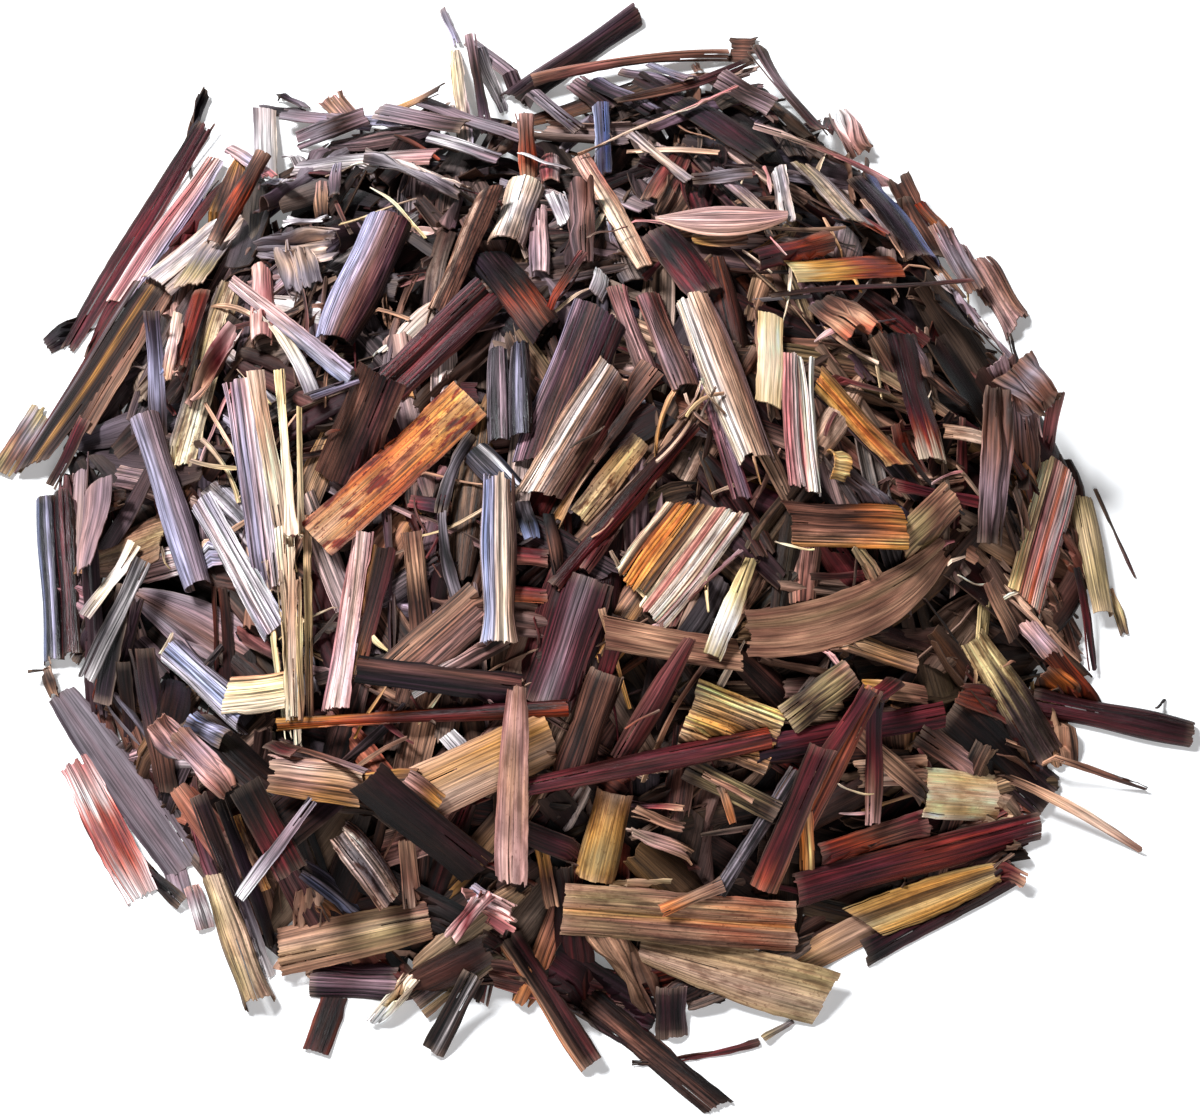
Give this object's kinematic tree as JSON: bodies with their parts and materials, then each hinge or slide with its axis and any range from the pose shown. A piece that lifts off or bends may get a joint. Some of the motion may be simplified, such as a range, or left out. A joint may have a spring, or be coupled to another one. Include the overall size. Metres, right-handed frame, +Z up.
{
  "type": "stack of dried sorghum leaves",
  "caption": "Loose rounded heap of dried sorghum leaf sheaths and blades cut into short pieces, for cooking and natural dyeing.",
  "frame": {"origin": "centre of the heap's underside: the middle of its bounding box in plan, at the height of the table it lies on", "axes": "+Z up, away from the table; +Y towards the side where the long folded tube sticks out past the rim; +X to the right seen from the front"},
  "size_m": [0.3038, 0.3236, 0.0598],
  "materials": {
    "dark_purple": "near-black purple dry leaf, satin",
    "rust": "rust-red glossy strip, satin",
    "maroon": "dry, slightly glossy dark red-brown sheath with fine ribs",
    "mauve": "pink-mauve dry leaf, matte",
    "grey": "grey-purple weathered leaf, matte",
    "pale": "pale beige ribbed leaf, matte",
    "tan": "tan-brown ribbed leaf with specks, satin",
    "brown": "mid-brown ribbed sheath, satin",
    "blue_black": "blue-black ribbed sheath with pale ribs, satin",
    "gold": "golden-yellow leaf turning brown, satin",
    "purple": "purple-brown ribbed sheath, satin",
    "lavender": "pale lavender-grey ribbed sheath, satin",
    "cream": "cream-yellow leaf, matte",
    "orange": "orange-brown leaf with dark red mottling, satin",
    "brick": "brick-red and white striped leaf, matte",
    "khaki": "khaki-brown leaf with specks, matte",
    "straw_pieces": "mixed small dry leaf pieces, dark red-brown to tan, matte"
  },
  "bodies": {
    "root": {"top_folded_tube": "dark_purple", "top_red_stick": "rust", "maroon_edge_strip": "maroon", "pink_violet_strip": "mauve", "left_striped_leaf": "grey", "pale_ribbed_leaf": "pale", "pale_pink_sheath": "pale", "pale_half_tube": "pale", "speckled_tan_strip": "tan", "brown_speckled_sheath_right": "brown", "black_blue_sheath": "blue_black", "yellow_rust_strip": "gold", "dark_maroon_orange_leaf": "dark_purple", "mottled_brown_sheath": "brown", "big_purple_tube": "purple", "maroon_folded_leaf": "maroon", "lavender_pink_strip": "lavender", "maroon_ribbed_strip": "brown", "purple_wide_leaf": "purple", "black_blue_ribbed_pair": "blue_black", "gold_brown_sheath": "tan", "big_pale_brown_tube": "tan", "pale_yellow_strip": "cream", "pink_vertical_leaf": "mauve", "orange_mottled_strip": "orange", "white_blue_tube": "lavender", "multi_striped_broken_leaf": "orange", "maroon_rust_stick": "rust", "gold_orange_strip": "gold", "white_pink_striped_leaf": "brick", "brown_orange_sheath": "brown", "maroon_strip_pale_tip": "maroon", "curved_brown_blade": "brown", "dark_red_tube_right": "maroon", "green_brown_node_leaf": "khaki", "green_tan_tube_right": "khaki", "striped_yellow_red_sheath": "brick", "gold_olive_leaf": "gold", "dark_red_wide_strip": "rust", "yellow_curled_leaf": "cream", "light_tan_leaf_front": "tan", "brown_tube_centre": "brown", "gold_tube": "gold", "tan_double_strip": "tan", "maroon_orange_tube": "rust", "long_dark_red_stick": "rust", "pink_mauve_strip": "mauve", "mottled_dark_bottom": "dark_purple", "dark_brown_pair_bottom": "brown", "purple_half_tube_bottom": "purple", "tan_ribbed_strip_bottom": "tan", "grey_strip_left_bottom": "grey", "khaki_tube": "khaki", "red_white_ribbed_piece": "brick", "lavender_ribbed_tube_low": "lavender", "white_ribbed_tube": "lavender", "lavender_tube_left": "lavender", "blue_black_sheath_left_edge": "blue_black", "loose_small_leaf_pieces": "straw_pieces"}
  },
  "joints": []
}
